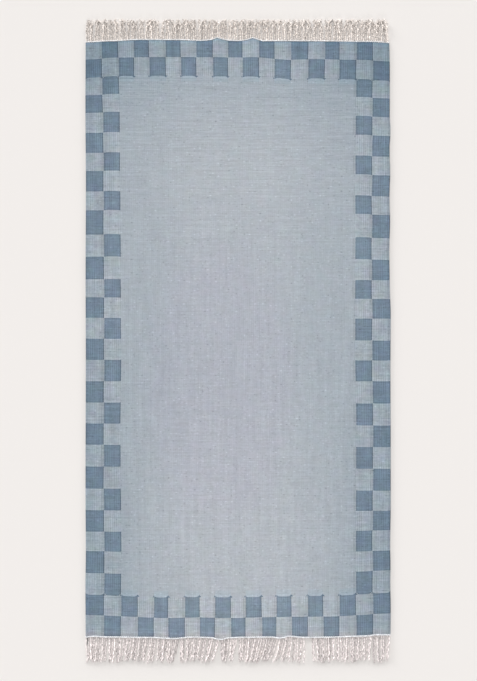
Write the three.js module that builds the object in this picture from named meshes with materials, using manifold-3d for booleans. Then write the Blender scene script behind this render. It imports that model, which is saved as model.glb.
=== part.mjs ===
// A flatwoven cotton rug lying flat on a floor, with a cut warp fringe at each end.
// Millimetres. X runs across the rug, Y along it and Z up, and the underside lies at Z = 0.
import * as THREE from "three";
import { mergeVertices } from "three/addons/utils/BufferGeometryUtils.js";
import Module from "manifold-3d";

const wasm = await Module();
wasm.setup();

// Driving sizes
const CLOTH_THICK = 4;
const END_GAP = 0.3;
const CORD_WIDTH = 3;
const CORD_HIGH = 3.4;
const STATIONS_ACROSS = 60;
const STATIONS_ALONG = 56;
const STRANDS = 150;
const STRAND_ROOT = { wide: 3.4, high: 2.8 };
const STRAND_TIP = { wide: 2.6, high: 2.2 };
const STRAND_CREST = 0.45; // width of a strand's top against its base
const STRAND_RINGS = [0, 0.5, 1];
const LEAN_CURVE = 1.3; // above 1, a strand leaves the cord straight and leans more towards its tip

// Colours and finishes
const CLOTH_LOOK = { color: 0xaab3bd, roughness: 0.95, metalness: 0 };
const FRINGE_LOOK = { color: 0xe2dad2, roughness: 0.9, metalness: 0 };

// How far each selvedge stands from the rug's centre line, going along from the near end.
// The left one is almost straight, and the right one works in and out by 2 mm.
const LEFT_SELVEDGE = [
  { at: -690, out: 348.6 },
  { at: -560, out: 349.2 },
  { at: -490, out: 348.2 },
  { at: -330, out: 349.0 },
  { at: -40, out: 348.3 },
  { at: 140, out: 348.8 },
  { at: 360, out: 348.1 },
  { at: 540, out: 349.2 },
  { at: 690, out: 348.7 },
];
const RIGHT_SELVEDGE = [
  { at: -690, out: 348.7 },
  { at: -607, out: 349.2 },
  { at: -553, out: 347.8 },
  { at: -511, out: 348.9 },
  { at: -479, out: 347.6 },
  { at: -376, out: 349.1 },
  { at: -227, out: 349.0 },
  { at: -67, out: 348.4 },
  { at: 62, out: 349.2 },
  { at: 130, out: 346.8 },
  { at: 208, out: 345.9 },
  { at: 277, out: 347.9 },
  { at: 332, out: 345.9 },
  { at: 382, out: 348.2 },
  { at: 437, out: 346.0 },
  { at: 479, out: 349.0 },
  { at: 511, out: 346.8 },
  { at: 625, out: 347.1 },
  { at: 690, out: 345.7 },
];

// How far each woven end stands from the rug's middle, going across from left to right.
const FAR_END = [
  { at: -351, out: 681.6 },
  { at: -290, out: 684.2 },
  { at: -225, out: 687.5 },
  { at: -129, out: 686.9 },
  { at: -90, out: 685.3 },
  { at: -65, out: 686.3 },
  { at: -47, out: 692.2 },
  { at: -28, out: 686.3 },
  { at: 0, out: 684.5 },
  { at: 15, out: 685.9 },
  { at: 35, out: 691.7 },
  { at: 55, out: 684.4 },
  { at: 119, out: 684.5 },
  { at: 165, out: 684.2 },
  { at: 302, out: 682.9 },
  { at: 351, out: 680.1 },
];
const NEAR_END = [
  { at: -351, out: 678.4 },
  { at: -333, out: 676.0 },
  { at: -300, out: 677.6 },
  { at: -202, out: 678.7 },
  { at: -145, out: 681.2 },
  { at: -106, out: 677.8 },
  { at: -62, out: 678.9 },
  { at: -41, out: 684.0 },
  { at: -20, out: 679.4 },
  { at: 9, out: 678.4 },
  { at: 77, out: 677.8 },
  { at: 98, out: 680.7 },
  { at: 117, out: 675.7 },
  { at: 149, out: 678.7 },
  { at: 199, out: 678.3 },
  { at: 284, out: 675.8 },
  { at: 351, out: 669.0 },
];

// The strands lie in locks. Each lock starts at one place across and ends where the next starts.
// first and last are the sideways lean of its first and last strand's tip.
const FAR_LOCKS = [
  { from: -352, first: 3.0, last: -2.5 },
  { from: -316, first: 1.0, last: -4.5 },
  { from: -276, first: 2.5, last: -2.0 },
  { from: -228, first: 3.5, last: -3.5 },
  { from: -180, first: 1.5, last: -3.0 },
  { from: -95, first: 4.5, last: -1.5 },
  { from: -24, first: 2.5, last: -3.5 },
  { from: 44, first: 1.0, last: -4.0 },
  { from: 101, first: 4.0, last: -1.0 },
  { from: 152, first: 2.0, last: -4.5 },
  { from: 196, first: 3.0, last: -2.0 },
  { from: 241, first: 1.5, last: -3.5 },
  { from: 296, first: 3.5, last: -2.5 },
];
const NEAR_LOCKS = [
  { from: -352, first: 1.5, last: -3.5 },
  { from: -309, first: -0.5, last: -9.0 },
  { from: -184, first: 0.0, last: -12.0 },
  { from: -133, first: -0.5, last: -2.5 },
  { from: -122, first: -1.0, last: -16.0 },
  { from: -42, first: -1.0, last: -9.0 },
  { from: -1, first: -1.5, last: -12.0 },
  { from: 50, first: -11.0, last: -20.0 },
  { from: 86, first: -19.0, last: -5.0 },
  { from: 123, first: -2.0, last: 1.0 },
  { from: 167, first: 3.5, last: -0.5 },
  { from: 207, first: 1.5, last: -3.0 },
  { from: 262, first: -0.5, last: -2.5 },
  { from: 318, first: 0.5, last: -3.0 },
];

// The two ends. side is -1 at the near end, and bare is a stretch whose strands have come out.
const NEAR_FRINGE = {
  name: "near_fringe",
  side: -1,
  end: NEAR_END,
  locks: NEAR_LOCKS,
  reach: 732.5,
  ragged: 2,
  seed: 11,
  bare: { from: 154, to: 169 },
};
const FAR_FRINGE = {
  name: "far_fringe",
  side: 1,
  end: FAR_END,
  locks: FAR_LOCKS,
  reach: 733.7,
  ragged: 0.8,
  seed: 47,
  bare: null,
};

// The rim of the cloth from its underside to its top: height, and how far it is drawn in.
const CLOTH_RIM = [
  { up: 0, inward: 0.6 },
  { up: 0.3 * CLOTH_THICK, inward: 0 },
  { up: 0.7 * CLOTH_THICK, inward: 0 },
  { up: CLOTH_THICK, inward: 0.8 },
];

// The end cord's section, outward from the cloth: a flat foot and a rounded back.
const CORD_SECTION = [
  { out: 0.15 * CORD_WIDTH, up: 0 },
  { out: 0.85 * CORD_WIDTH, up: 0 },
  { out: CORD_WIDTH, up: 0.45 * CORD_HIGH },
  { out: 0.75 * CORD_WIDTH, up: CORD_HIGH },
  { out: 0.25 * CORD_WIDTH, up: CORD_HIGH },
  { out: 0, up: 0.45 * CORD_HIGH },
];

// The table's value at a place, eased from each row to the next.
function read(table, at) {
  const next = Math.max(1, table.findIndex((row) => row.at >= at));
  const a = table[next - 1];
  const b = table[next];
  return a.out + (b.out - a.out) * THREE.MathUtils.smoothstep(at, a.at, b.at);
}

// A fixed number from 0 to 1 for strand i, the same in every build.
function chance(i, seed) {
  const wave = Math.sin(i * 12.9898 + seed * 78.233) * 43758.5453;
  return wave - Math.floor(wave);
}

// Evenly spaced places from a to b, both included.
function spaced(a, b, steps) {
  return Array.from({ length: steps + 1 }, (_, i) => a + ((b - a) * i) / steps);
}

// The places across an end, from one selvedge to the other.
function across(side, end) {
  const corner = side * read(end, 0);
  return spaced(-read(LEFT_SELVEDGE, corner), read(RIGHT_SELVEDGE, corner), STATIONS_ACROSS);
}

// The cloth's outline, anticlockwise from its near left corner.
function clothOutline() {
  const near = across(-1, NEAR_END).map((x) => new THREE.Vector2(x, -read(NEAR_END, x)));
  const far = across(1, FAR_END).map((x) => new THREE.Vector2(x, read(FAR_END, x)));
  far.reverse();
  const right = spaced(near.at(-1).y, far[0].y, STATIONS_ALONG)
    .slice(1, -1)
    .map((y) => new THREE.Vector2(read(RIGHT_SELVEDGE, y), y));
  const left = spaced(far.at(-1).y, near[0].y, STATIONS_ALONG)
    .slice(1, -1)
    .map((y) => new THREE.Vector2(-read(LEFT_SELVEDGE, y), y));
  return [...near, ...right, ...far, ...left];
}

// The same outline drawn in by one distance all round.
function drawnIn(outline, inward) {
  return outline.map((p, i) => {
    const before = outline.at(i - 1);
    const after = outline[(i + 1) % outline.length];
    const a = p.clone().sub(before).normalize();
    const b = after.clone().sub(p).normalize();
    const inner = new THREE.Vector2(-a.y - b.y, a.x + b.x).normalize();
    const mitre = inward / inner.dot(new THREE.Vector2(-a.y, a.x));
    return p.clone().addScaledVector(inner, mitre);
  });
}

// One closed shell through rings of points, each ring turning anticlockwise seen from its end.
function shellOf(rings, capFaces) {
  const sides = rings[0].length;
  const last = (rings.length - 1) * sides;
  const faces = [];
  for (let r = 0; r + 1 < rings.length; r++) {
    for (let i = 0; i < sides; i++) {
      const a = r * sides + i;
      const b = r * sides + ((i + 1) % sides);
      faces.push(a, b, b + sides, a, b + sides, a + sides);
    }
  }
  for (const [a, b, c] of capFaces) {
    faces.push(a, c, b);
    faces.push(last + a, last + b, last + c);
  }
  const geometry = new THREE.BufferGeometry().setFromPoints(rings.flat());
  geometry.setIndex(faces);
  return geometry;
}

// The cap faces of a ring whose points bulge outward all round.
function fan(sides) {
  return Array.from({ length: sides - 2 }, (_, i) => [0, i + 1, i + 2]);
}

function clothGeometry() {
  const outline = clothOutline();
  const caps = THREE.ShapeUtils.triangulateShape(outline, []);
  const rings = CLOTH_RIM.map(({ up, inward }) =>
    drawnIn(outline, inward).map((p) => new THREE.Vector3(p.x, p.y, up)),
  );
  return shellOf(rings, caps);
}

// The whipped cord that closes a woven end, parted from the cloth by a hair.
function cordGeometry({ side, end }) {
  const places = across(side, end);
  if (side < 0) places.reverse();
  const rings = places.map((x) =>
    CORD_SECTION.map(
      ({ out, up }) => new THREE.Vector3(x, side * (read(end, x) + END_GAP + out), up),
    ),
  );
  return shellOf(rings, fan(CORD_SECTION.length));
}

// The lean of the strand whose root is at x, from the lock that it lies in.
function leanAt(locks, x, edge) {
  const found = locks.findIndex((lock) => lock.from > x);
  const index = found < 0 ? locks.length - 1 : found - 1;
  const lock = locks[index];
  const to = found < 0 ? edge : locks[found].from;
  return THREE.MathUtils.mapLinear(x, lock.from, to, lock.first, lock.last);
}

// One strand: a tapering bar with a flat foot, from inside the cord to its cut tip.
function strandGeometry({ side, end, reach, ragged, seed }, x, lean, i) {
  const root = read(end, x) + END_GAP + 0.4 * CORD_WIDTH;
  const tip = reach + ragged * (2 * chance(i, seed) - 1);
  const rings = STRAND_RINGS.map((t) => {
    const middle = x + lean * t ** LEAN_CURVE;
    const y = side * THREE.MathUtils.lerp(root, tip, t);
    const half = 0.5 * THREE.MathUtils.lerp(STRAND_ROOT.wide, STRAND_TIP.wide, t);
    const high = THREE.MathUtils.lerp(STRAND_ROOT.high, STRAND_TIP.high, t);
    const crest = STRAND_CREST * half;
    return [
      new THREE.Vector3(middle + side * half, y, 0),
      new THREE.Vector3(middle - side * half, y, 0),
      new THREE.Vector3(middle - side * crest, y, high),
      new THREE.Vector3(middle + side * crest, y, high),
    ];
  });
  return shellOf(rings, fan(rings[0].length));
}

function solidOf(geometry) {
  const merged = mergeVertices(geometry);
  return new wasm.Manifold(
    new wasm.Mesh({
      numProp: 3,
      vertProperties: merged.getAttribute("position").array,
      triVerts: new Uint32Array(merged.index.array),
    }),
  );
}

function geometryOf(solid) {
  const mesh = solid.getMesh();
  const geometry = new THREE.BufferGeometry();
  geometry.setAttribute("position", new THREE.BufferAttribute(mesh.vertProperties, 3));
  geometry.setIndex(new THREE.BufferAttribute(mesh.triVerts, 1));
  return geometry;
}

// The end cord with every strand of one end joined to it.
function fringeGeometry(fringe) {
  const places = across(fringe.side, fringe.end);
  const [left, right] = [places[0], places.at(-1)];
  const pitch = (right - left) / STRANDS;
  let solid = solidOf(cordGeometry(fringe));
  for (let i = 0; i < STRANDS; i++) {
    const x = left + (i + 0.5) * pitch;
    if (fringe.bare && x > fringe.bare.from && x < fringe.bare.to) continue;
    solid = solid.add(solidOf(strandGeometry(fringe, x, leanAt(fringe.locks, x, right), i)));
  }
  return geometryOf(solid);
}

function meshOf(name, geometry, look) {
  geometry.computeVertexNormals();
  const mesh = new THREE.Mesh(geometry, new THREE.MeshStandardMaterial(look));
  mesh.name = name;
  return mesh;
}

const rug = new THREE.Group();
rug.add(meshOf("woven_cloth", clothGeometry(), CLOTH_LOOK));
for (const fringe of [NEAR_FRINGE, FAR_FRINGE]) {
  rug.add(meshOf(fringe.name, fringeGeometry(fringe), FRINGE_LOOK));
}

// The origin is the middle of the underside.
const box = new THREE.Box3().setFromObject(rug, true);
const middle = box.getCenter(new THREE.Vector3());
rug.position.set(-middle.x, -middle.y, -box.min.z);

export default rug;
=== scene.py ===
"""A flatwoven cotton rug with a checked border and a cut fringe at each end.

Lengths are metres. X runs across the rug, Y along it to the far fringe and Z up from the floor.
"""
from collections import namedtuple
from functools import reduce
from math import cos, pi, radians, sin, tau

import bpy
import numpy as np
from bpy.props import FloatProperty, FloatVectorProperty, IntProperty, PointerProperty
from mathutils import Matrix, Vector


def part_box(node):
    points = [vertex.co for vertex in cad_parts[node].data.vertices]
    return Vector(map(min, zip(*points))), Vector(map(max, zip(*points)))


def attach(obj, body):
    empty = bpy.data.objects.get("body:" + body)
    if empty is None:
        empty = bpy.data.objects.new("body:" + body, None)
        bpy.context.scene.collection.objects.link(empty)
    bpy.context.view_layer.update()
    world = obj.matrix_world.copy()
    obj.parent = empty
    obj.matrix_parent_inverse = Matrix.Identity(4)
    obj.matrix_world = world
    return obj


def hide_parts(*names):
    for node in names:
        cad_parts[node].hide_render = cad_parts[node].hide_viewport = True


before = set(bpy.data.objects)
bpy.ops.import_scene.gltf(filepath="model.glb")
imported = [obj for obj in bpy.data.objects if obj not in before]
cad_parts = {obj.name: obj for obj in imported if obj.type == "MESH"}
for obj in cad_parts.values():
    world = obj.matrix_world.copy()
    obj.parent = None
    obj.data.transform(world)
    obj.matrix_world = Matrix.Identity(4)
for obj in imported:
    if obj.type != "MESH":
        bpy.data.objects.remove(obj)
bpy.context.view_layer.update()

bl_info = {
    "name": "Flatwoven Rug",
    "version": (1, 1, 0),
    "blender": (4, 5, 0),
    "location": "3D View > Sidebar > Rug",
    "description": "Makes a flatwoven cotton rug with a checked border and a cut fringe at each end",
    "category": "Add Mesh",
}

CLOTH_LOW, CLOTH_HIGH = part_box("woven_cloth")
THICKNESS = CLOTH_HIGH.z
HALF_WIDTH = CLOTH_HIGH.x
WEAVE_MAP = "weave"

# The joins between the columns of checks: their place across at the near and the far border.
Join = namedtuple("Join", "near far")
COLUMN_JOINS = [
    Join(-0.350, -0.350),
    Join(-0.308, -0.313),
    Join(-0.268, -0.2745),
    Join(-0.230, -0.239),
    Join(-0.1925, -0.204),
    Join(-0.160, -0.166),
    Join(-0.1215, -0.1315),
    Join(-0.088, -0.096),
    Join(-0.053, -0.0575),
    Join(-0.016, -0.023),
    Join(0.017, 0.010),
    Join(0.0545, 0.048),
    Join(0.0875, 0.0835),
    Join(0.1225, 0.121),
    Join(0.1595, 0.161),
    Join(0.195, 0.199),
    Join(0.232, 0.2325),
    Join(0.2705, 0.2715),
    Join(0.310, 0.309),
    Join(0.351, 0.347),
]

# The joins between the rows of checks, from the near end: their place along at each selvedge.
Beat = namedtuple("Beat", "left right")
ROW_JOINS = [
    Beat(-0.678, -0.6735),
    Beat(-0.6285, -0.6275),
    Beat(-0.582, -0.5805),
    Beat(-0.5325, -0.528),
    Beat(-0.482, -0.4825),
    Beat(-0.4375, -0.435),
    Beat(-0.3885, -0.390),
    Beat(-0.339, -0.344),
    Beat(-0.2885, -0.294),
    Beat(-0.2385, -0.2445),
    Beat(-0.190, -0.195),
    Beat(-0.142, -0.1445),
    Beat(-0.0935, -0.0935),
    Beat(-0.0445, -0.046),
    Beat(0.004, -0.0005),
    Beat(0.052, 0.050),
    Beat(0.099, 0.095),
    Beat(0.1405, 0.138),
    Beat(0.1925, 0.185),
    Beat(0.2435, 0.235),
    Beat(0.299, 0.288),
    Beat(0.3425, 0.3305),
    Beat(0.389, 0.3785),
    Beat(0.4305, 0.4215),
    Beat(0.476, 0.4695),
    Beat(0.522, 0.5125),
    Beat(0.562, 0.556),
    Beat(0.602, 0.597),
    Beat(0.6435, 0.6415),
    Beat(0.6805, 0.6825),
]
COLUMNS = len(COLUMN_JOINS) - 1
ROWS = len(ROW_JOINS) - 1
BORDER = 2  # checks from the rug's edge to the plain field
CHECK_WIDE = 2 * HALF_WIDTH / COLUMNS
CHECK_LONG = (CLOTH_HIGH.y - CLOTH_LOW.y) / ROWS
END_BOW = 0.0057  # how far each end bows outward in the middle
RIGHT_SWELL = 0.0006  # the right selvedge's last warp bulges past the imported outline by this
RIM_HALF = 0.0004  # half the cloth's thickness at its very rim
WAVE_RISE = 0.0001  # a quarter of the height of the cloth's faint waves
SLOW_DRIFT = 0.00030  # how far a warp drifts sideways in a long wave
QUICK_DRIFT = 0.00022  # and in a short one

# A curve through a few places: at counts checks from the near end or the left edge, and each curve
# says what value stands for there.
Knot = namedtuple("Knot", "at value")

# The border's inner columns are drawn in towards the rug's middle, by this much along its length.
WAIST = [
    Knot(0.5, -0.0005), Knot(2.5, 0.0011), Knot(4.5, 0.0016), Knot(7.0, 0.0010), Knot(10.5, 0.0012),
    Knot(12.5, 0.0030), Knot(16.5, 0.0036), Knot(20.0, 0.0030), Knot(24.5, 0.0031), Knot(26.5, 0.0015),
    Knot(28.5, 0.0),
]
# The inner rows of the two end borders rise and sag along Y across the rug.
NEAR_SAG = [
    Knot(0.5, 0.0002), Knot(2.5, -0.0013), Knot(4.5, -0.0033), Knot(7.0, -0.0012), Knot(9.5, -0.0022),
    Knot(11.5, -0.0005), Knot(13.5, -0.0003), Knot(16.0, -0.0008), Knot(18.5, 0.0028),
]
FAR_SAG = [
    Knot(0.5, 0.0003), Knot(2.0, 0.0014), Knot(4.0, 0.0016), Knot(6.5, 0.0012), Knot(8.5, -0.0001),
    Knot(11.0, 0.0005), Knot(12.8, -0.0045), Knot(14.5, -0.0016), Knot(16.5, -0.0019), Knot(18.5, -0.0016),
]
# Painted shade where the light falls off: how much of the pale cotton's brightness is left, across from
# either edge and along. Along, it also paints the far end's rim in shade and the near end's rim lighter.
TONE_ACROSS = [
    Knot(0.0, 0.78), Knot(0.5, 0.81), Knot(1.5, 0.86), Knot(2.5, 0.90), Knot(4.5, 0.945), Knot(7.0, 1.0),
    Knot(9.5, 1.0),
]
TONE_ALONG = [
    Knot(0.0, 1.19), Knot(0.1, 1.17), Knot(0.25, 1.03), Knot(0.5, 0.96), Knot(1.5, 0.975), Knot(2.5, 1.01),
    Knot(4.5, 1.02), Knot(8.0, 1.0), Knot(10.5, 0.98), Knot(13.0, 0.968), Knot(17.0, 0.98),
    Knot(19.5, 0.987), Knot(22.0, 0.998), Knot(24.5, 0.955), Knot(25.5, 0.92), Knot(27.5, 0.842),
    Knot(28.6, 0.79), Knot(28.85, 0.68), Knot(29.0, 0.48),
]
# The checks at both selvedges differ from the rest of their row by this.
EDGE_ALONG = [
    Knot(0.0, 0.98), Knot(0.5, 0.98), Knot(1.5, 0.945), Knot(4.5, 0.923), Knot(7.0, 0.945), Knot(9.0, 0.96),
    Knot(11.5, 1.0), Knot(13.0, 1.022), Knot(16.0, 1.045), Knot(19.0, 1.022), Knot(22.0, 1.0),
    Knot(26.0, 1.0), Knot(27.5, 0.93), Knot(28.5, 0.97), Knot(29.0, 0.97),
]
TONE_TOP = 1.2  # what the top of a tone curve stands for
# How plainly uneven yarn shows along the field, in the weft and in the ribs.
WEFT_ALONG = [
    Knot(0.0, 0.8), Knot(5.0, 0.8), Knot(10.0, 0.75), Knot(14.0, 0.6), Knot(16.5, 0.6), Knot(18.5, 0.85),
    Knot(22.0, 1.15), Knot(24.5, 1.3), Knot(29.0, 1.5),
]
RIB_ALONG = [Knot(0.0, 1.05), Knot(17.0, 1.05), Knot(21.5, 0.55), Knot(29.0, 0.55)]
STREAK_TOP = 1.5  # what the top of these two curves stands for

# The middle of the field is a little less green than the rest: where that zone lies, how far it reaches,
# and what it leaves of red, green and blue.
TintZone = namedtuple("TintZone", "across along wide long dye")
TINT_ZONE = TintZone(-0.040, -0.103, 0.175, 0.33, (1.007, 0.9785, 1.007))
# The painted shade is bluer than the cloth: these powers take out red first and blue last.
SHADE_POWERS = (1.28, 0.95, 0.78)  # a stronger dye bath takes out red first and blue last

# The strands of each fringe lie in locks. A lock starts at one place across and ends where the next
# one starts, and first and last are the sideways lean of its first and last strand's tip.
Lock = namedtuple("Lock", "start first last")
FAR_LOCKS = [
    Lock(-0.352, 0.0020, -0.0015),
    Lock(-0.316, 0.0005, -0.0025),
    Lock(-0.276, 0.0015, -0.0010),
    Lock(-0.228, 0.0020, -0.0020),
    Lock(-0.180, 0.0010, -0.0020),
    Lock(-0.095, 0.0025, -0.0010),
    Lock(-0.024, 0.0015, -0.0020),
    Lock(0.044, 0.0005, -0.0025),
    Lock(0.101, 0.0025, -0.0005),
    Lock(0.152, 0.0010, -0.0025),
    Lock(0.196, 0.0020, -0.0010),
    Lock(0.241, 0.0010, -0.0020),
    Lock(0.296, 0.0020, -0.0015),
]
NEAR_LOCKS = [
    Lock(-0.352, 0.0015, -0.0035),
    Lock(-0.309, -0.0005, -0.0090),
    Lock(-0.184, 0.0000, -0.0120),
    Lock(-0.133, -0.0005, -0.0025),
    Lock(-0.122, -0.0010, -0.0160),
    Lock(-0.042, -0.0010, -0.0090),
    Lock(-0.001, -0.0015, -0.0120),
    Lock(0.050, -0.0110, -0.0200),
    Lock(0.086, -0.0190, -0.0050),
    Lock(0.123, -0.0020, 0.0010),
    Lock(0.167, 0.0035, -0.0005),
    Lock(0.207, 0.0015, -0.0030),
    Lock(0.262, -0.0005, -0.0025),
    Lock(0.318, 0.0005, -0.0030),
]

# The two ends. side is -1 at the near end. beyond is how far the middling strand goes past the solids'
# reach, ragged how uneven the strands' length is, and frayed how much shorter a ply may be, as a share of
# its length. bare is a stretch whose strands have come out. full is how thick the strands are at their cut
# ends, pull draws the tips of a tuft's strands together, tangle is how far a strand wanders from its lock,
# sway how far it waves, and stack how high one lies over the next. straight is the share of a strand that
# keeps straight beside the cord, and soiled how far painted shade lowers the tone to the cut ends, and
# less to the roots. cord is how thick the end cord is, outward how far its middle lies from the cloth's end,
# and clean its middle tone, where 0.5 keeps the cotton's own colour.
End = namedtuple(
    "End",
    "name side locks beyond ragged frayed seed bare full pull tangle sway stack straight soiled "
    "cord outward clean",
)
ENDS = [
    End(
        name="near", side=-1, locks=NEAR_LOCKS, beyond=0.0012, ragged=0.0042, frayed=0.10, seed=11,
        bare=(0.154, 0.169), full=1.0, pull=0.30, tangle=0.0022, sway=0.0011, stack=0.0009,
        straight=0.0, soiled=0.0, cord=0.0042, outward=0.0012, clean=-0.5,
    ),
    End(
        name="far", side=1, locks=FAR_LOCKS, beyond=0.0002, ragged=0.0016, frayed=0.03, seed=47,
        bare=(1, 1), full=1.3, pull=0.15, tangle=0.0034, sway=0.0022, stack=0.0013,
        straight=0.25, soiled=0.60, cord=0.0031, outward=0.0018, clean=0.0,
    ),
]
END_GAP = 0.0003  # between the cloth and the solids' cord
CORD_WIDTH = 0.003  # the solids' cord
LEAN_CURVE = 1.3  # a strand leans most near its cut end
ROOT_WANDER = 0.0010  # how far a strand's root lies from its even place
PLY_PART = 0.0013  # how far a strand's plies part at its cut end
PLY_RISE = 0.0003  # and how far one rises over the others there

# The pale weft reaches this far over a deep check's left side, where it turns back round the last warp.
LEFT_TURN = 0.0010
JOIN_STEP = 0.03  # how far a join steps in and out from weft to weft, in checks
# Painted shade on the rounded selvedges: how wide it reaches and how dark it is.
RIM_WIDE = 0.0032  # how wide the selvedges are rounded
RIM_SHADE = 0.86  # and how dark they look

# The line along a deep check's side: the place that it is looked for from, in metres across and along,
# whether it lies on the deep side of the join, and how dark or light it makes the dye there. The dark lines
# are painted shade in the woven slit that closes each right-hand side and in the sunken rib down the left,
# and the light ones are painted highlight on the last pale weft, which stands a little proud on the others.
JoinLine = namedtuple("JoinLine", "across along deep tone")
JOIN_LINES = [
    JoinLine(0.0023, 0.0, True, 0.72),
    JoinLine(-0.0023, 0.0, True, 0.81),
    JoinLine(0.0056, 0.0, False, 0.86),
    JoinLine(0.0030, 0.0, False, 1.14),
    JoinLine(-0.0018, 0.0, False, 0.99),
    JoinLine(0.0, 0.0028, True, 0.91),
    JoinLine(0.0, -0.0028, True, 0.915),
    JoinLine(0.0, 0.0026, False, 1.03),
    JoinLine(0.0, -0.0040, False, 1.06),
]

# Over a deep check the field's last wefts bunch up and stand in bands, one within the next: how far each
# band reaches from the check along the rug, and what it leaves of red, green and blue.
Band = namedtuple("Band", "reach dye")
FIELD_BANDS = [
    Band(0.0140, (0.955, 1.000, 1.015)),
    Band(0.0074, (0.950, 0.962, 0.970)),
    Band(0.0052, (1.077, 1.089, 1.100)),
    Band(0.0029, (0.954, 0.943, 0.954)),
]
HORN_LEAST = 0.015  # how far every check's corners are drawn out along the rug, in checks
HORN_LONG = 0.08  # how much further they are on the field's edge
HORN_WIDE = 0.09  # and how far they spread there over the next warps

# Uneven yarn, as streaks and patches: the length of each across and along, and its strength. The border
# is more uneven than the field, more so in its ribs than in its weft. A weft is about 1 mm thick, too fine
# to show, so the finest streaks are drawn 2 to 4 mm thick.
Streak = namedtuple("Streak", "wide long strength")
WEFT_STREAKS = [
    Streak(0.180, 0.0034, 0.14),
    Streak(0.040, 0.0036, 0.14),
    Streak(0.012, 0.0024, 0.08),
]
OTHER_STREAKS = [
    Streak(0.0110, 0.160, 0.085),
    Streak(0.0046, 0.120, 0.06),
    Streak(0.0034, 0.0034, 0.03),
    Streak(0.0080, 0.0060, 0.07),
    Streak(0.018, 0.014, 0.08),
    Streak(0.060, 0.070, 0.04),
]
BORDER_WEFT = 1.3
BORDER_OTHER = 1.9
FLECK = Streak(0.0060, 0.0034, 0.30)  # slubs in the yarn show as short dark and light flecks

# Red, green and blue each wander a little over such a patch, and more in the border than in the field.
HUE_PATCH = Streak(0.022, 0.022, 0.03)
BORDER_HUE = 2.4

# Painted shade darkens the grooves between the ribs and their crests are painted lighter, more in the border,
# and in patches where the weft was beaten harder.
BEATEN_PATCH = Streak(0.030, 0.040, 2.1)
FIELD_GROOVE = 0.035
BORDER_GROOVE = 0.165
RIB_MEAN = 0.42  # the relief's mean height, so that the grooves leave the cloth's tone as it is

# Real cotton fibres are too fine to show, so they are drawn 0.9 mm wide and 6 mm long.
FIBRE = Streak(1 / 1100, 1 / 160, 0.10)

# The lamps: the share of the floor's light, where each stands from the rug, and how wide it is in
# degrees. The low ones reach under the others and give the rug its soft edge of shade.
Lamp = namedtuple("Lamp", "name share place width")
LAMPS = [
    Lamp("high_window", 0.260, (-0.30, 0.50, 1.00), 60),
    Lamp("low_left_window", 0.125, (-0.70, 0.70, 0.20), 18),
    Lamp("low_right_window", 0.085, (0.70, 0.70, 0.23), 18),
    Lamp("low_far_window", 0.090, (0.0, 1.0, 0.22), 18),
    Lamp("low_near_window", 0.070, (0.0, -1.0, 0.36), 12),
]


def linear(code):
    """An sRGB hex colour as the linear one that Blender mixes."""
    shares = [int(code[i:i + 2], 16) / 255 for i in (1, 3, 5)]
    return tuple(s / 12.92 if s <= 0.04045 else ((s + 0.055) / 1.055) ** 2.4 for s in shares)


class RugCloth(bpy.types.PropertyGroup):
    """The woven cloth's weave and dyes."""

    # Real ribs are about 3 mm apart and the weft's beads 1 mm, too fine for the picture. They are drawn
    # coarser: 4.6 mm and 2.2 mm.
    ribs: IntProperty(
        name="Ribs in a Check", description="Warp ribs across one check", default=8, min=2, max=16,
    )
    rib_depth: FloatProperty(
        name="Rib Depth", description="From a rib's crest to the groove beside it",
        default=0.0003, min=0, max=0.001, precision=5, unit="LENGTH",
    )
    join_depth: FloatProperty(
        name="Join Depth", description="How much deeper the groove is where two dyes meet",
        default=0.0005, min=0, max=0.001, precision=5, unit="LENGTH",
    )
    beads: IntProperty(
        name="Beads in a Check", description="Weft beads along one check's rib", default=21, min=4, max=60,
    )
    pale: FloatVectorProperty(
        name="Pale Dye", description="The field and every second check",
        default=linear("#abb1b8"), min=0, max=1, size=3, subtype="COLOR",
    )
    deep: FloatVectorProperty(
        name="Deep Dye", description="The checks between",
        default=linear("#7c8b9a"), min=0, max=1, size=3, subtype="COLOR",
    )


class RugFringe(bpy.types.PropertyGroup):
    """The fringes and the cords that they hang from."""

    strands: IntProperty(
        name="Strands", description="Strands from one selvedge to the other", default=150, min=10, max=300,
    )
    root: FloatProperty(
        name="Root Thickness", description="A strand's thickness where it leaves the cord",
        default=0.0030, min=0.001, max=0.004, precision=4, unit="LENGTH",
    )
    tip: FloatProperty(
        name="Tip Thickness", description="A strand's thickness at its cut end",
        default=0.0032, min=0.001, max=0.004, precision=4, unit="LENGTH",
    )
    undyed: FloatVectorProperty(
        name="Undyed Cotton", description="The near strands",
        default=linear("#eee6e5"), min=0, max=1, size=3, subtype="COLOR",
    )
    yellowed: FloatVectorProperty(
        name="Yellowed Cotton", description="The far strands",
        default=linear("#f3ebe5"), min=0, max=1, size=3, subtype="COLOR",
    )
    bleached: FloatVectorProperty(
        name="Cord Cotton", description="The whipped end cords",
        default=linear("#fafbfe"), min=0, max=1, size=3, subtype="COLOR",
    )
    tail: FloatVectorProperty(
        name="Loose Weft", description="The one dark weft that hangs out at the near left corner",
        default=linear("#3c4246"), min=0, max=1, size=3, subtype="COLOR",
    )


class RugStage(bpy.types.PropertyGroup):
    """The floor, the light and the camera."""

    floor: FloatVectorProperty(
        name="Floor", description="The studio floor",
        default=linear("#eae6e3"), min=0, max=1, size=3, subtype="COLOR",
    )
    lamps: FloatProperty(
        name="Lamps", description="Brightness of the lamps together", default=1.0, min=0, max=5,
    )
    sky: FloatProperty(
        name="Room Light", description="Strength of the even light from all round",
        default=0.45, min=0, max=5,
    )
    camera_height: FloatProperty(
        name="Camera Height", description="From the floor to the camera",
        default=3.6843, min=0.5, max=20, unit="LENGTH",
    )


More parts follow.
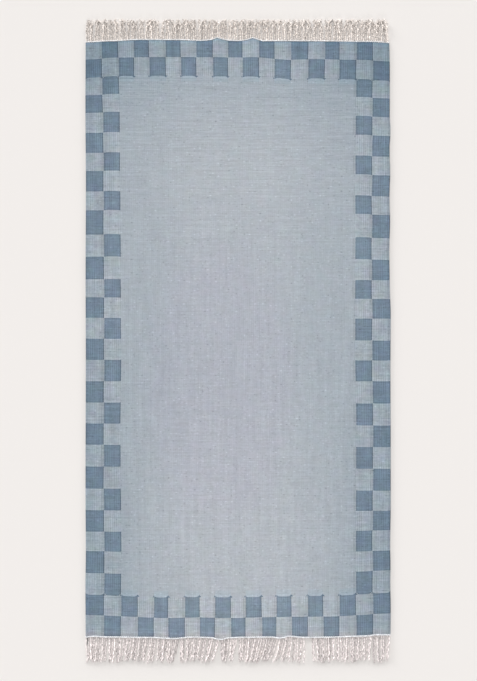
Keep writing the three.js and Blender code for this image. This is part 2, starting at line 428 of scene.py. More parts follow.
def points_of(mesh):
    """The places of a mesh's points."""
    places = np.empty(len(mesh.vertices) * 3)
    mesh.vertices.foreach_get("co", places)
    return places.reshape(-1, 3)


def chance(i, seed):
    """A fixed number from 0 to 1 for thing i, the same in every run."""
    return np.sin(i * 12.9898 + seed * 78.233) * 43758.5453 % 1


def fade(distance, reach):
    """1 at no distance and 0 from reach on, eased at both ends."""
    t = np.clip(1 - distance / reach, 0, 1)
    return t * t * (3 - 2 * t)


def along_knots(at, knots):
    """The value of a table of knots at each place."""
    places, values = np.array(knots).T
    return np.interp(at, places, values)


def between(ends, share):
    """The place at that share of the way from the first end to the second."""
    return ends[0] + (ends[1] - ends[0]) * share


def inside(place, number):
    """How many of that number of checks a place lies from the nearer edge."""
    return np.minimum(place, number - place)


def outline_of_cloth():
    """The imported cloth's outline, as functions of the place along it: its two ends and its selvedges."""
    places = points_of(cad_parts["woven_cloth"].data)
    widest = places[np.abs(places[:, 2] - THICKNESS / 2) < THICKNESS / 4]
    corner = 0.97 * np.abs(widest[:, :2]).max(axis=0)

    def side(across, sign):
        rows = widest[sign * widest[:, across] > corner[across]]
        rows = rows[np.argsort(rows[:, 1 - across])]
        return lambda at: np.interp(at, rows[:, 1 - across], rows[:, across])

    return side(1, -1), side(1, 1), side(0, -1), side(0, 1)


NEAR_LINE, FAR_LINE, LEFT_LINE, RIGHT_LINE = outline_of_cloth()


def woven_place(u, v):
    """Where a place in the weave lies: u counts columns of checks from the left, v rows from the near end."""
    columns = np.array(COLUMN_JOINS)
    beats = np.array(ROW_JOINS)
    along = (v - 1) / (ROWS - 2)
    x = between([np.interp(u, range(COLUMNS + 1), edge) for edge in columns.T], along)
    y = between([np.interp(v, range(ROWS + 1), edge) for edge in beats.T], x / (2 * HALF_WIDTH) + 0.5)

    # The waist and the sags are whole about two checks in, and die out further in.
    from_edge = inside(u, COLUMNS)
    inward = np.interp(from_edge, (0, 1, 2, 2.5, COLUMNS / 2), (0, 0.85, 1, 1, 0))
    x = x + np.sign(COLUMNS / 2 - u) * inward * along_knots(v, WAIST)
    for knots, from_end in ((NEAR_SAG, v), (FAR_SAG, ROWS - v)):
        y = y + along_knots(u, knots) * np.interp(from_end, (0, 1, 2, 6), (0, 1, 1, 0))

    # In the far half the outermost checks lag behind their row and the next ones lead it.
    lag = np.interp(from_edge, (0, 0.7, 1.3, 2, 2.5), (-0.0010, -0.0010, 0.0008, 0.0008, 0))
    y = y + lag * np.interp(v, (16, 19, 28, ROWS), (0, 1, 1, 0))

    # Each end bows outward in the middle, and the bow dies out slowly towards the rug's middle.
    bow = END_BOW * (1 - (x / HALF_WIDTH) ** 2)
    y = y + bow * (fade(ROWS - v, 8) - fade(v, 8))

    # The outer rows and columns follow the outline, with its humps.
    across = x / (2 * HALF_WIDTH) + 0.5
    near_end = between(beats[0], across) - bow
    far_end = between(beats[-1], across) + bow
    y = y + (NEAR_LINE(x) - near_end) * fade(v, 1.3) + (FAR_LINE(x) - far_end) * fade(ROWS - v, 1.3)
    left_off = LEFT_LINE(y) - between(columns[0], along)
    right_off = RIGHT_LINE(y) + RIGHT_SWELL - between(columns[-1], along)
    return x + left_off * fade(u, 2.5) + right_off * fade(COLUMNS - u, 2.5), y


def rib_wander(u, v, ribs):
    """How far the warps drift sideways along the rug, so that no two ribs keep one width."""
    def drift(groove):
        slow = np.sin(0.9 * v + tau * chance(groove, 3))
        quick = np.sin(2.6 * v + tau * chance(groove, 7))
        return SLOW_DRIFT * slow + QUICK_DRIFT * quick

    groove = np.floor(u * ribs)
    share = u * ribs - groove
    still = fade(inside(u, COLUMNS), 0.25)
    return between((drift(groove), drift(groove + 1)), share) * (1 - still)


def is_deep(u, v):
    """Whether a place in the weave lies in a deep check: they alternate, two deep all round the field."""
    column, row = np.floor(u), np.floor(v)
    rim = np.minimum(inside(column, COLUMNS - 1), inside(row, ROWS - 1))
    return ((column + row) % 2 == 1) & (rim < BORDER)


def cloth_height(u, v, weave):
    """How far the cloth's face stands from its middle plane. The border is beaten harder than the field."""
    from_side, from_end = inside(u, COLUMNS), inside(v, ROWS)
    edge = np.minimum(from_side, from_end)
    crest = np.abs(np.sin(pi * weave.ribs * u))
    firm = np.where(edge < BORDER, 1.0, 0.7) * (0.75 + 0.5 * chance(np.floor(u * weave.ribs), 5))
    height = THICKNESS / 2 - weave.rib_depth * firm * (1 - crest)

    # Where two dyes meet, and two ribs in from each selvedge, the groove is deeper.
    meets = (np.abs(u - np.rint(u)) < 1e-6) & (is_deep(u - 0.5, v) != is_deep(u + 0.5, v))
    height -= weave.join_depth * meets
    height -= weave.join_depth * (np.abs(from_side * weave.ribs - 2) < 1e-6)
    height = np.where(from_end < 0.1, 0.88 * height, height)
    return np.where(edge < 1e-6, RIM_HALF, height)


def cloth_lift(x, y):
    """How far the cloth stands off the floor in its faint waves."""
    wave = np.sin(9 * y + 4 * x) * np.sin(13 * x + 1) + np.sin(21 * y - 7 * x + 2)
    return WAVE_RISE * (wave + 2)


def make_cloth(weave):
    """The woven cloth: a fine grid laid to the weave's own joins, given its second face and a rounded rim."""
    samples = 4  # along one rib's width
    rows = np.unique(np.concatenate((np.arange(0, ROWS + 0.25, 0.5), [0.04, 0.25, ROWS - 0.25, ROWS - 0.04])))
    bpy.ops.object.select_all(action="DESELECT")
    bpy.ops.mesh.primitive_grid_add(
        x_subdivisions=COLUMNS * weave.ribs * samples, y_subdivisions=len(rows) - 1, size=2,
    )
    cloth = bpy.context.active_object
    cloth.name = "cloth"
    grid = points_of(cloth.data)
    u = (grid[:, 0] + 1) / 2 * COLUMNS
    v = rows[np.rint((grid[:, 1] + 1) / 2 * (len(rows) - 1)).astype(int)]

    weave_map = cloth.data.uv_layers[0]
    weave_map.name = WEAVE_MAP
    corners = np.empty(len(cloth.data.loops), int)
    cloth.data.loops.foreach_get("vertex_index", corners)
    weave_map.data.foreach_set("uv", np.column_stack((u / COLUMNS, v / ROWS))[corners].ravel())

    second = cloth.modifiers.new("second_face", "SOLIDIFY")
    second.thickness = THICKNESS
    second.offset = -1
    bpy.ops.object.modifier_apply(modifier=second.name)

    x, y = woven_place(u, v)
    x = x + rib_wander(u, v, weave.ribs)
    middle = THICKNESS / 2 + cloth_lift(x, y)
    height = cloth_height(u, v, weave)
    faces = [np.column_stack((x, y, middle + height)), np.column_stack((x, y, middle - height))]
    cloth.data.vertices.foreach_set("co", np.concatenate(faces).ravel())
    cloth.data.update()
    bpy.ops.object.shade_smooth()
    return cloth


def plied_yarn(plies, sides, turns, steps):
    """A straight yarn, one unit thick and one unit long up Z: its points, its faces and each point's ply."""
    touching = sin(pi / plies)
    radius = 0.5 * touching / (1 + touching)
    off_axis = 0.5 - radius
    made = []
    for ply in range(plies):
        turn = tau * ply / plies
        bpy.ops.object.select_all(action="DESELECT")
        bpy.ops.mesh.primitive_circle_add(
            vertices=sides, radius=radius, location=(off_axis * cos(turn), off_axis * sin(turn), 0),
        )
        made.append(bpy.context.active_object)
    for ring in made:
        ring.select_set(True)
    bpy.ops.object.join()
    bpy.ops.object.transform_apply(location=True)
    yarn = bpy.context.active_object
    twist = yarn.modifiers.new("twist", "SCREW")
    twist.iterations = turns
    twist.screw_offset = 1 / turns
    twist.steps = twist.render_steps = steps
    bpy.ops.object.modifier_apply(modifier=twist.name)
    bpy.ops.object.mode_set(mode="EDIT")
    bpy.ops.mesh.select_all(action="DESELECT")
    bpy.ops.mesh.select_non_manifold()
    bpy.ops.mesh.fill_holes(sides=0)
    bpy.ops.mesh.select_all(action="SELECT")
    bpy.ops.mesh.normals_make_consistent(inside=False)
    bpy.ops.object.mode_set(mode="OBJECT")
    shape = points_of(yarn.data)
    faces = [tuple(face.vertices) for face in yarn.data.polygons]
    bpy.data.objects.remove(yarn)
    ply = np.arange(len(shape)) % (plies * sides) // sides
    return shape, faces, ply


def laid_yarns(name, places, faces, tones):
    """One piece of many yarns: places holds each yarn's points, and faces joins the points of one."""
    count, points, _ = places.shape
    every = [[corner + yarn * points for corner in face] for yarn in range(count) for face in faces]
    mesh = bpy.data.meshes.new(name)
    mesh.from_pydata(places.reshape(-1, 3), [], every)
    mesh.attributes.new("tone", "FLOAT", "POINT").data.foreach_set("value", tones.ravel())
    piece = bpy.data.objects.new(name, mesh)
    bpy.context.scene.collection.objects.link(piece)
    bpy.ops.object.select_all(action="DESELECT")
    piece.select_set(True)
    bpy.context.view_layer.objects.active = piece
    bpy.ops.object.shade_smooth()
    return piece


def end_line(end, x):
    """How far the cloth's end stands from the rug's middle at each place across."""
    return NEAR_LINE(x) * -1 if end.side < 0 else FAR_LINE(x)


def end_corners(end):
    """The end's first and last place across."""
    line = end.side * end_line(end, 0.0)
    return LEFT_LINE(line), RIGHT_LINE(line)


def lock_lean(end, x, right):
    """How far each strand's tip leans with its lock."""
    starts = np.array([lock.start for lock in end.locks] + [right])
    lock = np.searchsorted(starts, x, side="right") - 1
    leans = np.array([(row.first, row.last) for row in end.locks])[lock].T
    return between(leans, (x - starts[lock]) / (starts[lock + 1] - starts[lock]))


def tuft_pull(end, i, x):
    """How far each strand's tip is drawn to the middle of its tuft, of two to four neighbours."""
    sizes = 2 + np.floor(3 * chance(np.arange(i.max() + 1), end.seed + 6)).astype(int)
    tuft = np.repeat(np.arange(len(sizes)), sizes)[i]
    middle = np.bincount(tuft, weights=x) / np.maximum(np.bincount(tuft), 1)
    return end.pull * (0.3 + 0.9 * chance(tuft, end.seed + 7)) * (middle[tuft] - x)


def make_fringe(end, fringe, template):
    """The strands of one end: each leaves the cord straight, leans with its lock and rests on the floor."""
    shape, faces, ply = template
    left, right = end_corners(end)
    i = np.arange(fringe.strands)
    x = left + (i + 0.5) * (right - left) / fringe.strands
    kept = (x < end.bare[0]) | (x > end.bare[1])
    i, x = i[kept], x[kept] + ROOT_WANDER * (2 * chance(i[kept], end.seed + 11) - 1)
    lean = lock_lean(end, x, right)
    pull = tuft_pull(end, i, x)

    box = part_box(end.name + "_fringe")
    reach = max(abs(box[0].y), abs(box[1].y)) + end.beyond
    root = end_line(end, x) + END_GAP + 0.4 * CORD_WIDTH
    tip = reach + end.ragged * (2 * chance(i, end.seed) - 1)

    # Rows are strands and columns are the template's points from here on.
    i, x, lean, pull, root, tip = (row[:, None] for row in (i, x, lean, pull, root, tip))
    t = shape[None, :, 2]

    def wave(waves, seed):
        start = chance(i, end.seed + seed)
        return np.sin(tau * (waves * t + start)) - np.sin(tau * start)

    loose = np.clip((t - end.straight) / (1 - end.straight), 0, 1)
    wander = 2 * chance(i, end.seed + 1) - 1
    middle = x + lean * t ** LEAN_CURVE + pull * fade(1 - t, 0.85)
    middle = middle + end.tangle * wander * loose ** 1.3 + end.sway * loose * (wave(1.3, 2) + wave(3.4, 12))
    thick = between((fringe.root, end.full * fringe.tip), t) * (0.88 + 0.24 * chance(i, end.seed + 3))
    thick = thick * (1 + 0.10 * wave(3.6, 13)) * (1 - 0.3 * fade(1 - t, 0.1))
    spin = tau * chance(i, end.seed + 4)
    a = shape[None, :, 0] * np.cos(spin) - shape[None, :, 1] * np.sin(spin)
    b = shape[None, :, 0] * np.sin(spin) + shape[None, :, 1] * np.cos(spin)

    # The plies part towards the cut end, and some are cut shorter than others.
    yarn = i * (ply.max() + 1) + ply[None, :]
    stray = 2 * chance(yarn, end.seed + 8) - 1
    middle = middle + PLY_PART * stray * t ** 2
    cut = 1 - end.frayed * chance(yarn, end.seed + 9) ** 2
    layer = i % 3
    above = layer * end.stack * (1 - fade(loose, 0.5)) + PLY_RISE * np.abs(stray) * t
    rest = thick / 2 + above + np.maximum(THICKNESS / 2 - thick / 2, 0) * fade(t, 0.3)
    y = end.side * (root + (tip - root) * t * cut)
    places = np.stack((middle - end.side * a * thick, y, rest + b * thick), axis=-1)

    # Painted light on the strands that lie on top and painted shade on those beneath, over a random tone.
    tones = 0.3 * chance(i, end.seed + 5) + 0.3 * chance(yarn, end.seed + 10) + 0.2 * layer
    # Painted shade lowers the tone towards the cut ends, and less at the roots beside the cord.
    end_shade = end.soiled * (t ** 4 + 0.3 * (1 - t) ** 4)
    return laid_yarns(end.name + "_fringe_yarn", places, faces, tones - end_shade)


def make_end_cord(end, template):
    """The whipped cord that closes a woven end: two plies twined along it."""
    shape, faces, _ = template
    left, right = end_corners(end)
    x = left + (right - left) * shape[:, 2]
    y = end.side * (end_line(end, x) + end.outward) + shape[:, 0] * end.cord
    z = (THICKNESS + end.cord - CORD_WIDTH) / 2 + shape[:, 1] * end.cord
    places = np.stack((x, y, z), axis=-1)[None]
    tones = end.clean + 0.5 * np.sin(70 * x) * np.sin(190 * x + 1)
    return laid_yarns(end.name + "_end_cord", places, faces, tones)


def make_weft_tail(template):
    """The one dark weft that has worked out at the near left corner and hangs along the fringe."""
    shape, faces, _ = template
    t = shape[:, 2]
    thick, length, inward, over_strands = 0.0017, 0.017, 0.0048, 0.0036
    left = LEFT_LINE(NEAR_LINE(0.0))
    x = left + inward * (1 - 0.45 * t) + shape[:, 0] * thick
    y = NEAR_LINE(left) - END_GAP - 0.7 * CORD_WIDTH - length * t
    height = THICKNESS / 2 + (over_strands - THICKNESS / 2) * fade(np.abs(t - 0.45), 0.45)
    z = height * (1 - 0.6 * t) + thick * (0.5 + shape[:, 1])
    places = np.stack((x, y, z), axis=-1)[None]
    return laid_yarns("loose_weft_tail", places, faces, np.full(len(t), 0.5))


def add(tree, kind, *links, sockets=None, **settings):
    """Adds a node. links feed its inputs in order and sockets by name, each a value, a socket or a node."""
    node = tree.nodes.new("ShaderNode" + kind)
    for name, value in settings.items():
        setattr(node, name, value)
    for key, value in [*enumerate(links), *(sockets or {}).items()]:
        if isinstance(value, bpy.types.Node):
            value = value.outputs[0]
        if isinstance(value, bpy.types.NodeSocket):
            tree.links.new(value, node.inputs[key])
        elif value is not None:
            node.inputs[key].default_value = value
    return node


def new_material(name, roughness):
    """A material with its tree and its shader, matt like all cotton."""
    material = bpy.data.materials.new(name)
    material.use_nodes = True
    shader = material.node_tree.nodes["Principled BSDF"]
    shader.inputs["Roughness"].default_value = roughness
    shader.inputs["Specular IOR Level"].default_value = 0.2
    return material, material.node_tree, shader


def off_middle(tree, place, number):
    """How far a place lies from the middle of that number of checks."""
    beyond = add(tree, "Math", place, number / 2, operation="SUBTRACT")
    return add(tree, "Math", beyond, operation="ABSOLUTE")


def far_side(tree, v):
    """1 in the far half of the rug and -1 in the near half."""
    beyond = add(tree, "Math", v, ROWS / 2, operation="SUBTRACT")
    return add(tree, "Math", beyond, operation="SIGN")


def in_border(tree, u, v):
    """1 in the checked border and 0 in the field."""
    rims = [
        add(tree, "Math", off_middle(tree, place, number), number / 2 - BORDER, operation="GREATER_THAN")
        for place, number in ((u, COLUMNS), (v, ROWS))
    ]
    return add(tree, "Math", *rims, operation="MAXIMUM")


def odd_check(tree, u, v):
    """1 inside every second check of the border and 0 elsewhere."""
    column, row = (add(tree, "Math", place, operation="FLOOR") for place in (u, v))
    count = add(tree, "Math", column, row, operation="ADD")
    odd = add(tree, "Math", count, 2.0, operation="FLOORED_MODULO")
    return add(tree, "Math", odd, in_border(tree, u, v), operation="MULTIPLY")


def deep_check(tree, u, v):
    """1 inside a deep check and 0 elsewhere. The selvedge has no pale weft to turn over it."""
    turned = add(tree, "Math", u, LEFT_TURN / CHECK_WIDE, operation="SUBTRACT")
    kept = add(tree, "Math", turned, 0.0, operation="MAXIMUM")
    return add(tree, "Math", odd_check(tree, u, v), odd_check(tree, kept, v), operation="MULTIPLY")


def worked_joins(tree, u, v):
    """The weave's coordinates with the joins as a weaver leaves them, a little in and out."""
    # Each weft turns round the join's last warp, so a join steps in and out by half a millimetre.
    turns = add(tree, "TexNoise", noise_dimensions="1D", sockets={"W": v, "Scale": 20.0, "Detail": 1.0})
    step = add(tree, "Math", turns, 0.5, operation="SUBTRACT")
    joined_u = add(tree, "Math", step, JOIN_STEP, u, operation="MULTIPLY_ADD")

    # A deep check's corners are drawn out beyond its side, most on the field's edge.
    share = add(tree, "Math", u, operation="FRACT")
    off_centre = add(tree, "Math", share, 2.0, -1.0, operation="MULTIPLY_ADD")
    corner = add(tree, "Math", add(tree, "Math", off_centre, operation="ABSOLUTE"), 6.0, operation="POWER")
    from_middle = off_middle(tree, v, ROWS)
    by_field = add(tree, "Math", from_middle, ROWS / 2 - BORDER, 0.3, operation="COMPARE")
    drawn = add(tree, "Math", by_field, HORN_LONG, HORN_LEAST, operation="MULTIPLY_ADD")
    horn = add(tree, "Math", corner, drawn, operation="MULTIPLY")
    horned_v = add(tree, "Math", horn, far_side(tree, v), v, operation="MULTIPLY_ADD")

    # There they also spread over the next warps. In that row every odd column is a pale one.
    at_edge = add(tree, "Math", from_middle, ROWS / 2 - BORDER - 0.03, 0.04, operation="COMPARE")
    pale = add(tree, "Math", add(tree, "Math", u, operation="FLOOR"), 2.0, operation="FLOORED_MODULO")
    pale_edge = add(tree, "Math", at_edge, pale, operation="MULTIPLY")
    spread = add(tree, "Math", pale_edge, HORN_WIDE, operation="MULTIPLY")
    outward = add(tree, "Math", off_centre, operation="SIGN")
    return add(tree, "Math", spread, outward, joined_u, operation="MULTIPLY_ADD"), horned_v


def painted_join_lines(tree, u, v, deep):
    """The painted shade and painted highlight lines along the joins, each as a tone that is 1 away from its
    line.
    """
    tones = []
    for line in JOIN_LINES:
        beside_u = add(tree, "Math", u, line.across / CHECK_WIDE, operation="ADD")
        beside_v = add(tree, "Math", v, line.along / CHECK_LONG, operation="ADD")
        beside = deep_check(tree, beside_u, beside_v)
        here, there = (deep, beside) if line.deep else (beside, deep)
        parted = add(tree, "Math", here, there, operation="SUBTRACT")
        on_line = add(tree, "Math", parted, 0.5, operation="GREATER_THAN")
        tones.append(add(tree, "Math", on_line, line.tone - 1, 1.0, operation="MULTIPLY_ADD"))
    return tones


def band_casts(tree, u, v, border):
    """The field's last wefts over each deep check, as red, green and blue that are 1 away from them."""
    side = far_side(tree, v)
    in_field = add(tree, "Math", 1.0, border, operation="SUBTRACT")
    casts = []
    for band in FIELD_BANDS:
        beside_v = add(tree, "Math", side, band.reach / CHECK_LONG, v, operation="MULTIPLY_ADD")
        here = add(tree, "Math", deep_check(tree, u, beside_v), in_field, operation="MULTIPLY")
        change = tuple(left - 1 for left in band.dye)
        casts.append(add(tree, "VectorMath", change, here, (1.0,) * 3, operation="MULTIPLY_ADD"))
    return casts


def rim_painted_shade(tree, u):
    """Painted shade on the rounded selvedges, which makes them look deeper than the flat cloth."""
    rounded = COLUMNS / 2 - RIM_WIDE / CHECK_WIDE
    return add(tree, "MapRange", off_middle(tree, u, COLUMNS), rounded, COLUMNS / 2, 1.0, RIM_SHADE)


def knot_curve(tree, at, knots, length, top):
    """The value of a table of knots at a place. top is what the curve's top stands for."""
    share = add(tree, "Math", at, length, operation="DIVIDE")
    curve = add(tree, "FloatCurve", 1.0, share)
    points = curve.mapping.curves[0].points
    while len(points) < len(knots):
        points.new(0.5, 0.5)
    for point, knot in zip(points, knots):
        point.location = (knot.at / length, knot.value / top)
    curve.mapping.update()
    return add(tree, "Math", curve, top, operation="MULTIPLY")


def painted_falloff_shade(tree, u, v):
    """Painted shade where the light falls off over the whole rug: deeper towards its edges and its far end,
    with the near end's rim painted lighter, for each of red, green and blue."""
    to_side = add(tree, "Math", COLUMNS / 2, off_middle(tree, u, COLUMNS), operation="SUBTRACT")
    across = knot_curve(tree, to_side, TONE_ACROSS, COLUMNS / 2, TONE_TOP)
    along = knot_curve(tree, v, TONE_ALONG, ROWS, TONE_TOP)
    at_edge = add(tree, "MapRange", to_side, 1.8, 4.0, 1.0, 0.0)
    edge_along = knot_curve(tree, v, EDGE_ALONG, ROWS, TONE_TOP)
    edge = add(tree, "Mix", sockets={"Factor": at_edge, "A": 1.0, "B": edge_along})
    tone = reduce(lambda a, b: add(tree, "Math", a, b, operation="MULTIPLY"), (across, along, edge))
    dyes = (add(tree, "Math", tone, power, operation="POWER") for power in SHADE_POWERS)
    return add(tree, "CombineXYZ", *dyes)


def zone_tint(tree, surface):
    """What the less green zone leaves of red, green and blue: all of it away from the zone."""
    zone = TINT_ZONE
    from_zone = add(tree, "VectorMath", surface, (zone.across, zone.along, 0.0), operation="SUBTRACT")
    flat = add(tree, "VectorMath", from_zone, (1 / zone.wide, 1 / zone.long, 0.0), operation="MULTIPLY")
    distance = add(tree, "VectorMath", flat, operation="LENGTH").outputs["Value"]
    share = add(tree, "MapRange", distance, 0.75, 1.15, 1.0, 0.0, interpolation_type="SMOOTHSTEP")
    gone = tuple(left - 1 for left in zone.dye)
    return add(tree, "VectorMath", gone, share, (1.0,) * 3, operation="MULTIPLY_ADD")


def patches(tree, surface, streak, detail):
    """Noise from 0 to 1 whose patches are as wide and as long as the streak says."""
    scaled = add(tree, "VectorMath", surface, (1 / streak.wide, 1 / streak.long, 0.0), operation="MULTIPLY")
    return add(tree, "TexNoise", scaled, sockets={"Scale": 1.0, "Detail": detail})


def streak_tones(tree, surface, v, border):
    """Uneven yarn. The weft's streaks show most in the far half, and the border is uneven all round."""
    weft, other = (
        add(tree, "Mix", sockets={
            "Factor": border, "A": knot_curve(tree, v, knots, ROWS, STREAK_TOP), "B": at_border,
        })
        for knots, at_border in ((WEFT_ALONG, BORDER_WEFT), (RIB_ALONG, BORDER_OTHER))
    )
    tones = []
    for streaks, strength in ((WEFT_STREAKS, weft), (OTHER_STREAKS, other)):
        for streak in streaks:
            noise = patches(tree, surface, streak, 2.0)
            most = streak.strength
            centred = add(tree, "Math", noise, 2 * most, -most, operation="MULTIPLY_ADD")
            tones.append(add(tree, "Math", centred, strength, 1.0, operation="MULTIPLY_ADD"))

    fleck = patches(tree, surface, FLECK, 0.0)
    tones.append(add(tree, "MapRange", fleck, 0.68, 0.86, 1.0, 1 - FLECK.strength))
    tones.append(add(tree, "MapRange", fleck, 0.32, 0.14, 1.0, 1 + FLECK.strength))
    return tones


def rib_relief(tree, u, v, weave):
    """Ribs and the weft's beads on them, set half a bead apart from rib to rib, from 0 to 1."""
    rib = add(tree, "Math", u, float(weave.ribs), operation="MULTIPLY")
    rib_wave = add(tree, "Math", add(tree, "Math", rib, pi, operation="MULTIPLY"), operation="SINE")
    crest = add(tree, "Math", rib_wave, operation="ABSOLUTE")
    number = add(tree, "Math", add(tree, "Math", rib, operation="FLOOR"), 0.5, operation="MULTIPLY")
    bead = add(tree, "Math", v, float(weave.beads), number, operation="MULTIPLY_ADD")
    bead_wave = add(tree, "Math", add(tree, "Math", bead, pi, operation="MULTIPLY"), operation="SINE")
    bulge = add(tree, "Math", bead_wave, operation="ABSOLUTE")
    beaded = add(tree, "Math", bulge, 0.5, 0.5, operation="MULTIPLY_ADD")
    return add(tree, "Math", crest, beaded, operation="MULTIPLY")


def handwoven_cotton(weave):
    """Handwoven cotton, weft-faced and vat-dyed: matt, beaded over fine ribs, streaked along and across
    by uneven yarn, with a sunken line where two dyes meet. Painted shade and painted light lie in the ribs,
    along the joins, on the selvedges and towards the rug's edges."""
    material, tree, shader = new_material("handwoven_weft_faced_cotton", 0.92)
    shader.inputs["Sheen Weight"].default_value = 0.08
    shader.inputs["Sheen Roughness"].default_value = 0.6
    place = add(tree, "SeparateXYZ", add(tree, "UVMap", uv_map=WEAVE_MAP))
    u = add(tree, "Math", place.outputs[0], float(COLUMNS), operation="MULTIPLY")
    v = add(tree, "Math", place.outputs[1], float(ROWS), operation="MULTIPLY")
    surface = add(tree, "TexCoord").outputs["Object"]

    joined_u, joined_v = worked_joins(tree, u, v)
    deep = deep_check(tree, joined_u, joined_v)
    dye = add(
        tree, "Mix", data_type="RGBA",
        sockets={"Factor": deep, 6: (*weave.pale, 1), 7: (*weave.deep, 1)},
    ).outputs[2]
    border = in_border(tree, u, v)
    hue = patches(tree, surface, HUE_PATCH, 1.0).outputs["Color"]
    off_grey = add(tree, "VectorMath", hue, (0.5,) * 3, operation="SUBTRACT")
    strength = 2 * HUE_PATCH.strength
    amount = add(tree, "Math", border, (BORDER_HUE - 1) * strength, strength, operation="MULTIPLY_ADD")
    wander = add(tree, "VectorMath", off_grey, amount, (1.0,) * 3, operation="MULTIPLY_ADD")
    casts = [dye, painted_falloff_shade(tree, u, v), wander, zone_tint(tree, surface)]
    casts += band_casts(tree, joined_u, joined_v, border)
    dyed = reduce(lambda a, b: add(tree, "VectorMath", a, b, operation="MULTIPLY"), casts)

    # Painted shade in the rib grooves and painted light on their crests, stronger where the weft was beaten
    # harder.
    relief = rib_relief(tree, u, v, weave)
    patch = patches(tree, surface, BEATEN_PATCH, 1.0)
    beaten = add(tree, "MapRange", patch, 0.35, 0.65, 0.0, BEATEN_PATCH.strength)
    zone = add(tree, "Mix", sockets={"Factor": border, "A": FIELD_GROOVE, "B": BORDER_GROOVE})
    grooves = add(tree, "Math", beaten, zone, operation="MULTIPLY")
    centred = add(tree, "Math", relief, RIB_MEAN, operation="SUBTRACT")
    rib_painted_shade = add(tree, "Math", centred, grooves, 1.0, operation="MULTIPLY_ADD")

    tones = [rib_painted_shade, rim_painted_shade(tree, u), *painted_join_lines(tree, joined_u, joined_v, deep)]
    tones += streak_tones(tree, surface, v, border)
    tone = reduce(lambda a, b: add(tree, "Math", a, b, operation="MULTIPLY"), tones)
    colour = add(tree, "VectorMath", dyed, sockets={"Scale": tone}, operation="SCALE")
    tree.links.new(colour.outputs[0], shader.inputs["Base Color"])
    bump = add(tree, "Bump", sockets={"Strength": 0.5, "Distance": 0.0003, "Height": relief})
    tree.links.new(bump.outputs[0], shader.inputs["Normal"])
    return material


def twisted_cotton(name, colour, spread, tuft):
    """Cotton yarn, loosely twisted: matt, each strand a little lighter or darker, with fibres along it and
    brighter and duller tufts."""
    material, tree, shader = new_material(name, 0.9)
    shader.inputs["Sheen Weight"].default_value = 0.1
    strand = add(tree, "Attribute", attribute_name="tone").outputs["Fac"]
    tone = add(tree, "Math", strand, 2 * spread, 1 - spread, operation="MULTIPLY_ADD")
    surface = add(tree, "TexCoord").outputs["Object"]
    across, along = 1 / FIBRE.wide, 1 / FIBRE.long
    fibres = add(tree, "VectorMath", surface, (across, along, across), operation="MULTIPLY")
    noise = add(tree, "TexNoise", fibres, sockets={"Scale": 1.0, "Detail": 2.0})
    fibre_tone = add(tree, "Math", noise, 2 * FIBRE.strength, 1 - FIBRE.strength, operation="MULTIPLY_ADD")
    tuft_noise = patches(tree, surface, tuft, 1.0)
    tuft_tone = add(tree, "Math", tuft_noise, 2 * tuft.strength, 1 - tuft.strength, operation="MULTIPLY_ADD")
    shade = reduce(lambda a, b: add(tree, "Math", a, b, operation="MULTIPLY"), (tone, fibre_tone, tuft_tone))
    scaled = add(tree, "VectorMath", tuple(colour), sockets={"Scale": shade}, operation="SCALE")
    tree.links.new(scaled.outputs[0], shader.inputs["Base Color"])
    bump = add(tree, "Bump", sockets={"Strength": 0.5, "Distance": 0.0003, "Height": noise})
    tree.links.new(bump.outputs[0], shader.inputs["Normal"])
    return material


def matt_floor(colour):
    """A matt painted studio floor, even all over."""
    material, tree, shader = new_material("matt_painted_floor", 0.95)
    shader.inputs["Base Color"].default_value = (*colour, 1)
    return material


def dress(piece, material, slot, *nodes):
    """Gives a finished piece its material and its place in the frame."""
    piece.data.materials.clear()
    piece.data.materials.append(material)
    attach(piece, "root")
    if nodes:
        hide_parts(*nodes)


class RUG_OT_make_cloth(bpy.types.Operator):
    """Weaves the cloth with its checked border"""

    bl_idname = "rug.make_cloth"
    bl_label = "Make Cloth"

    def execute(self, context):
        weave = context.scene.rug_cloth
        dress(make_cloth(weave), handwoven_cotton(weave), "woven_cloth", "woven_cloth")
        return {"FINISHED"}


class RUG_OT_make_fringes(bpy.types.Operator):
    """Lays the strands of both fringes"""

    bl_idname = "rug.make_fringes"
    bl_label = "Make Fringes"

    def execute(self, context):
        fringe = context.scene.rug_fringe
        template = plied_yarn(plies=3, sides=4, turns=4, steps=12)
        near_tuft = Streak(0.0026, 0.0050, 0.82)
        far_tuft = Streak(0.0034, 0.0031, 0.95)
        cottons = {
            "near": twisted_cotton("loosely_twisted_undyed_cotton", fringe.undyed, 0.29, near_tuft),
            "far": twisted_cotton("loosely_twisted_yellowed_cotton", fringe.yellowed, 0.24, far_tuft),
        }
        for end in ENDS:
            dress(make_fringe(end, fringe, template), cottons[end.name], "fringe", end.name + "_fringe")
        return {"FINISHED"}


class RUG_OT_make_end_cords(bpy.types.Operator):
    """Twines the cord that closes each woven end"""

    bl_idname = "rug.make_end_cords"
    bl_label = "Make End Cords"

    def execute(self, context):
        template = plied_yarn(plies=2, sides=6, turns=75, steps=8)
        bleached = context.scene.rug_fringe.bleached
        material = twisted_cotton("whipped_bleached_cotton", bleached, 0.06, Streak(0.006, 0.006, 0.35))
        for end in ENDS:
            dress(make_end_cord(end, template), material, "fringe")
        return {"FINISHED"}


class RUG_OT_make_weft_tail(bpy.types.Operator):
    """Lays the loose weft at the near left corner"""

    bl_idname = "rug.make_weft_tail"
    bl_label = "Make Weft Tail"

    def execute(self, context):
        template = plied_yarn(plies=2, sides=6, turns=5, steps=6)
        dyed = context.scene.rug_fringe.tail
        material = twisted_cotton("vat_dyed_cotton_yarn", dyed, 0.0, Streak(0.003, 0.003, 0.10))
        dress(make_weft_tail(template), material, "woven_cloth")
        return {"FINISHED"}


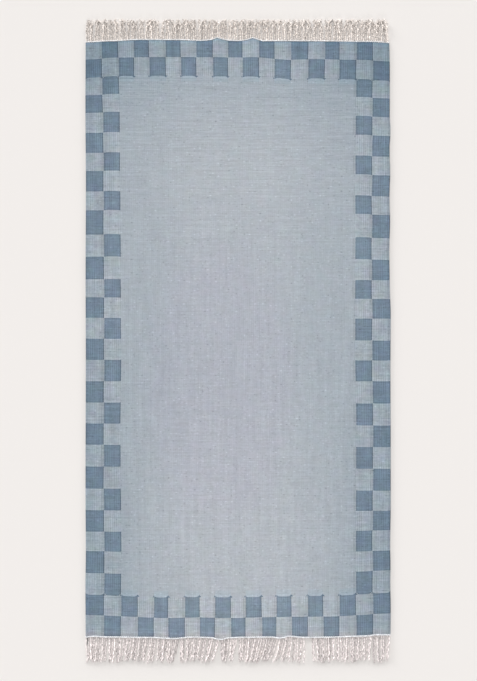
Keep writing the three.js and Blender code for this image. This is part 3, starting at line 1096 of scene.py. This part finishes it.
class RUG_OT_make_stage(bpy.types.Operator):
    """Sets the floor, the light and the camera"""

    bl_idname = "rug.make_stage"
    bl_label = "Make Stage"

    def execute(self, context):
        stage = context.scene.rug_stage
        bpy.ops.object.select_all(action="DESELECT")
        bpy.ops.mesh.primitive_plane_add(size=80)
        floor = context.active_object
        floor.name = "floor"
        floor.data.materials.append(matt_floor(stage.floor))

        for lamp in LAMPS:
            place = Vector(lamp.place).normalized()
            sun = bpy.data.lights.new(lamp.name, "SUN")
            sun.energy = stage.lamps * lamp.share * pi / place.z
            sun.angle = radians(lamp.width)
            light = bpy.data.objects.new(lamp.name, sun)
            light.rotation_euler = place.to_track_quat("Z", "Y").to_euler()
            context.scene.collection.objects.link(light)

        world = bpy.data.worlds.new("even_room_light")
        world.use_nodes = True
        background = world.node_tree.nodes["Background"]
        background.inputs["Color"].default_value = (1, 1, 1, 1)
        background.inputs["Strength"].default_value = stage.sky
        context.scene.world = world
        context.scene.view_settings.view_transform = "Standard"

        # The photograph looks straight down, its middle a millimetre off the rug's.
        camera = bpy.data.cameras.new("overhead")
        camera.lens = 85
        camera.sensor_width = 36
        eye = bpy.data.objects.new("overhead", camera)
        eye.location = (0.0013, -0.0001, stage.camera_height)
        context.scene.collection.objects.link(eye)
        context.scene.camera = eye
        return {"FINISHED"}


class RUG_PT_panel(bpy.types.Panel):
    """Lists the rug's makers and their settings"""

    bl_idname = "RUG_PT_panel"
    bl_label = "Flatwoven Rug"
    bl_space_type = "VIEW_3D"
    bl_region_type = "UI"
    bl_category = "Rug"

    def draw(self, context):
        scene = context.scene
        for settings, operators in PANEL_ROWS:
            box = self.layout.box()
            group = getattr(scene, settings)
            for name in group.bl_rna.properties.keys():
                if name not in ("name", "rna_type"):
                    box.prop(group, name)
            for operator in operators:
                box.operator(operator.bl_idname)


PANEL_ROWS = [
    ("rug_cloth", [RUG_OT_make_cloth]),
    ("rug_fringe", [RUG_OT_make_fringes, RUG_OT_make_end_cords, RUG_OT_make_weft_tail]),
    ("rug_stage", [RUG_OT_make_stage]),
]
SETTINGS = {"rug_cloth": RugCloth, "rug_fringe": RugFringe, "rug_stage": RugStage}
OPERATORS = [operator for _, operators in PANEL_ROWS for operator in operators]


def register():
    for made in (*SETTINGS.values(), *OPERATORS, RUG_PT_panel):
        bpy.utils.register_class(made)
    for name, settings in SETTINGS.items():
        setattr(bpy.types.Scene, name, PointerProperty(type=settings))


def unregister():
    for name in SETTINGS:
        delattr(bpy.types.Scene, name)
    for made in (RUG_PT_panel, *reversed(OPERATORS), *SETTINGS.values()):
        bpy.utils.unregister_class(made)


def main():
    register()
    bpy.ops.rug.make_stage()
    bpy.ops.rug.make_cloth()
    bpy.ops.rug.make_fringes()
    bpy.ops.rug.make_end_cords()
    bpy.ops.rug.make_weft_tail()


if __name__ == "__main__":
    main()
